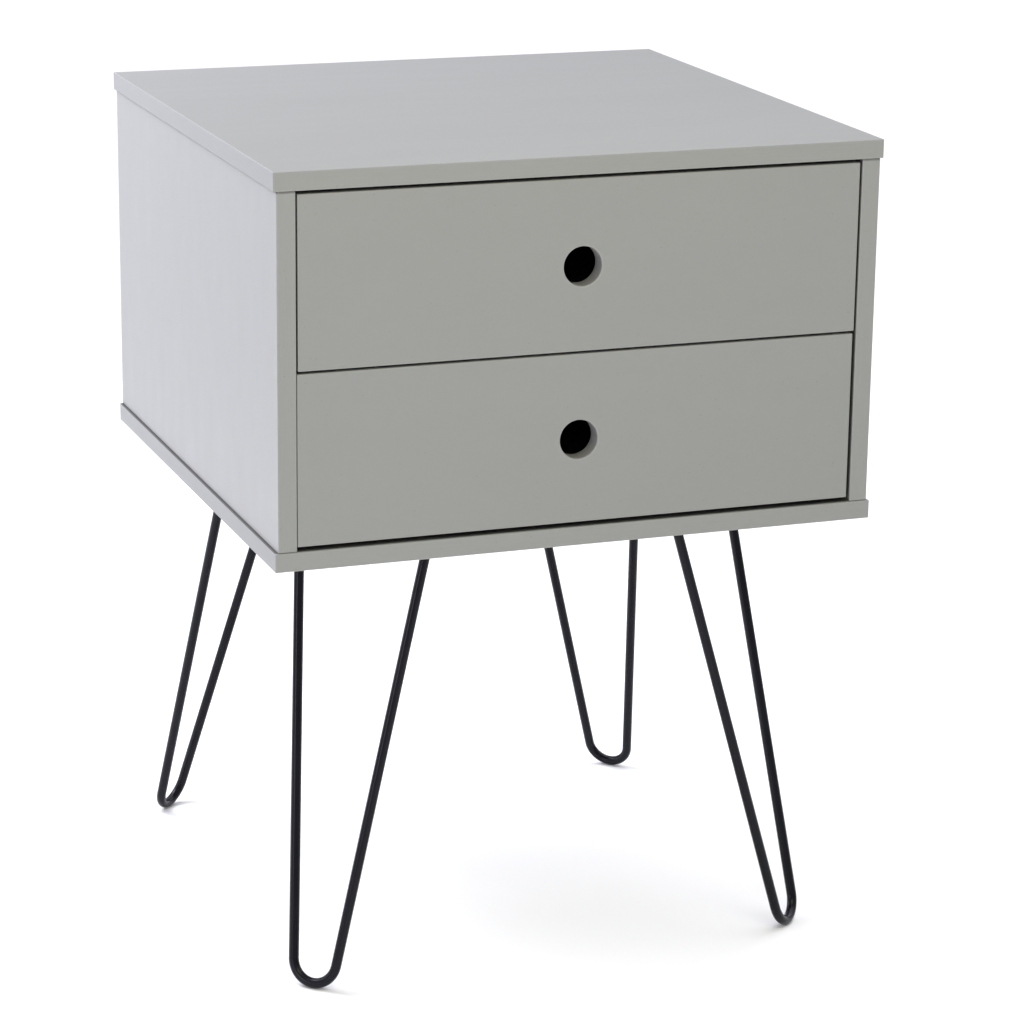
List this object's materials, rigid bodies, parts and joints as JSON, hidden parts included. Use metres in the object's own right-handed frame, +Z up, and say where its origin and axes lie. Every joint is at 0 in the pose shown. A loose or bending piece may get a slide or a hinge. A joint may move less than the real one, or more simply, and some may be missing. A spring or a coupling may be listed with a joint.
{
  "type": "nightstand with drawers",
  "caption": "Bedside cabinet: a painted box with inset drawers opened by round finger holes, on splayed hairpin legs of bent steel rod.",
  "frame": {"origin": "on the floor under the middle of the cabinet, at the level of the legs' feet", "axes": "+Z up, +X to the right seen from the front, the drawer fronts face -Y"},
  "size_m": [0.4, 0.39, 0.54],
  "materials": {
    "painted_board": "satin warm grey paint on fibreboard",
    "hardboard": "thin fibreboard, painted on its smooth face and bare on the other",
    "dowel": "plain beech",
    "powder_coat": "satin black powder coat",
    "black_screw": "black screws",
    "runner_steel": "white epoxy-coated sheet steel",
    "zinc_steel": "bright zinc plate",
    "cam_zinc": "die-cast zinc",
    "nylon": "white nylon"
  },
  "bodies": {
    "case": {"back_left_leg_plate": "powder_coat", "back_left_leg_rod": "powder_coat", "back_panel": "hardboard", "back_right_leg_plate": "powder_coat", "back_right_leg_rod": "powder_coat", "bottom_panel": "painted_board", "case_cam_bolts": "zinc_steel", "case_cam_locks": "cam_zinc", "case_dowels": "dowel", "front_left_leg_plate": "powder_coat", "front_left_leg_rod": "powder_coat", "front_right_leg_plate": "powder_coat", "front_right_leg_rod": "powder_coat", "front_roller_rivets": "zinc_steel", "left_side_panel": "painted_board", "leg_screws": "black_screw", "lower_left_cabinet_runner": "runner_steel", "lower_right_cabinet_runner": "runner_steel", "right_side_panel": "painted_board", "runner_screws": "zinc_steel", "top_panel": "painted_board", "upper_left_cabinet_runner": "runner_steel", "upper_right_cabinet_runner": "runner_steel"},
    "upper_drawer": {"upper_drawer_back": "painted_board", "upper_drawer_back_screws": "zinc_steel", "upper_drawer_base": "hardboard", "upper_drawer_base_screws": "zinc_steel", "upper_drawer_cam_bolts": "zinc_steel", "upper_drawer_cam_locks": "cam_zinc", "upper_drawer_dowels": "dowel", "upper_drawer_front": "painted_board", "upper_drawer_left_rail": "runner_steel", "upper_drawer_left_side": "painted_board", "upper_drawer_rail_screws": "zinc_steel", "upper_drawer_right_rail": "runner_steel", "upper_drawer_right_side": "painted_board", "upper_drawer_roller_rivets": "zinc_steel"},
    "lower_drawer": {"lower_drawer_back": "painted_board", "lower_drawer_back_screws": "zinc_steel", "lower_drawer_base": "hardboard", "lower_drawer_base_screws": "zinc_steel", "lower_drawer_cam_bolts": "zinc_steel", "lower_drawer_cam_locks": "cam_zinc", "lower_drawer_dowels": "dowel", "lower_drawer_front": "painted_board", "lower_drawer_left_rail": "runner_steel", "lower_drawer_left_side": "painted_board", "lower_drawer_rail_screws": "zinc_steel", "lower_drawer_right_rail": "runner_steel", "lower_drawer_right_side": "painted_board", "lower_drawer_roller_rivets": "zinc_steel"},
    "lower_drawer_left_rear_roller": {"lower_drawer_left_rear_roller": "nylon"},
    "lower_drawer_right_rear_roller": {"lower_drawer_right_rear_roller": "nylon"},
    "lower_left_front_roller": {"lower_left_front_roller": "nylon"},
    "lower_right_front_roller": {"lower_right_front_roller": "nylon"},
    "upper_drawer_left_rear_roller": {"upper_drawer_left_rear_roller": "nylon"},
    "upper_drawer_right_rear_roller": {"upper_drawer_right_rear_roller": "nylon"},
    "upper_left_front_roller": {"upper_left_front_roller": "nylon"},
    "upper_right_front_roller": {"upper_right_front_roller": "nylon"}
  },
  "joints": [
    {"name": "upper_drawer_slide", "type": "slide", "parent": "case", "child": "upper_drawer", "axis": [0, -1, 0], "range_m": [0, 0.25]},
    {"name": "lower_drawer_slide", "type": "slide", "parent": "case", "child": "lower_drawer", "axis": [0, -1, 0], "range_m": [0, 0.25]},
    {"name": "lower_drawer_left_rear_roller_spin", "type": "hinge", "parent": "lower_drawer", "child": "lower_drawer_left_rear_roller", "pos_m": [-0.1788, 0.1605, 0.322], "axis": [1, 0, 0], "range_deg": [0, 1792]},
    {"name": "lower_drawer_right_rear_roller_spin", "type": "hinge", "parent": "lower_drawer", "child": "lower_drawer_right_rear_roller", "pos_m": [0.1788, 0.1605, 0.322], "axis": [1, 0, 0], "range_deg": [0, 1792]},
    {"name": "lower_left_front_roller_spin", "type": "hinge", "parent": "case", "child": "lower_left_front_roller", "pos_m": [-0.1807, -0.17, 0.3236], "axis": [1, 0, 0], "range_deg": [0, 1792]},
    {"name": "lower_right_front_roller_spin", "type": "hinge", "parent": "case", "child": "lower_right_front_roller", "pos_m": [0.1807, -0.17, 0.3236], "axis": [1, 0, 0], "range_deg": [0, 1792]},
    {"name": "upper_drawer_left_rear_roller_spin", "type": "hinge", "parent": "upper_drawer", "child": "upper_drawer_left_rear_roller", "pos_m": [-0.1788, 0.1605, 0.4322], "axis": [1, 0, 0], "range_deg": [0, 1792]},
    {"name": "upper_drawer_right_rear_roller_spin", "type": "hinge", "parent": "upper_drawer", "child": "upper_drawer_right_rear_roller", "pos_m": [0.1788, 0.1605, 0.4322], "axis": [1, 0, 0], "range_deg": [0, 1792]},
    {"name": "upper_left_front_roller_spin", "type": "hinge", "parent": "case", "child": "upper_left_front_roller", "pos_m": [-0.1807, -0.17, 0.4338], "axis": [1, 0, 0], "range_deg": [0, 1792]},
    {"name": "upper_right_front_roller_spin", "type": "hinge", "parent": "case", "child": "upper_right_front_roller", "pos_m": [0.1807, -0.17, 0.4338], "axis": [1, 0, 0], "range_deg": [0, 1792]}
  ],
  "couplings": [
    {"joint": "lower_drawer_left_rear_roller_spin", "follows": "lower_drawer_slide", "rad_per_m": 125},
    {"joint": "lower_drawer_right_rear_roller_spin", "follows": "lower_drawer_slide", "rad_per_m": 125},
    {"joint": "lower_left_front_roller_spin", "follows": "lower_drawer_slide", "rad_per_m": 125},
    {"joint": "lower_right_front_roller_spin", "follows": "lower_drawer_slide", "rad_per_m": 125},
    {"joint": "upper_drawer_left_rear_roller_spin", "follows": "upper_drawer_slide", "rad_per_m": 125},
    {"joint": "upper_drawer_right_rear_roller_spin", "follows": "upper_drawer_slide", "rad_per_m": 125},
    {"joint": "upper_left_front_roller_spin", "follows": "upper_drawer_slide", "rad_per_m": 125},
    {"joint": "upper_right_front_roller_spin", "follows": "upper_drawer_slide", "rad_per_m": 125}
  ]
}
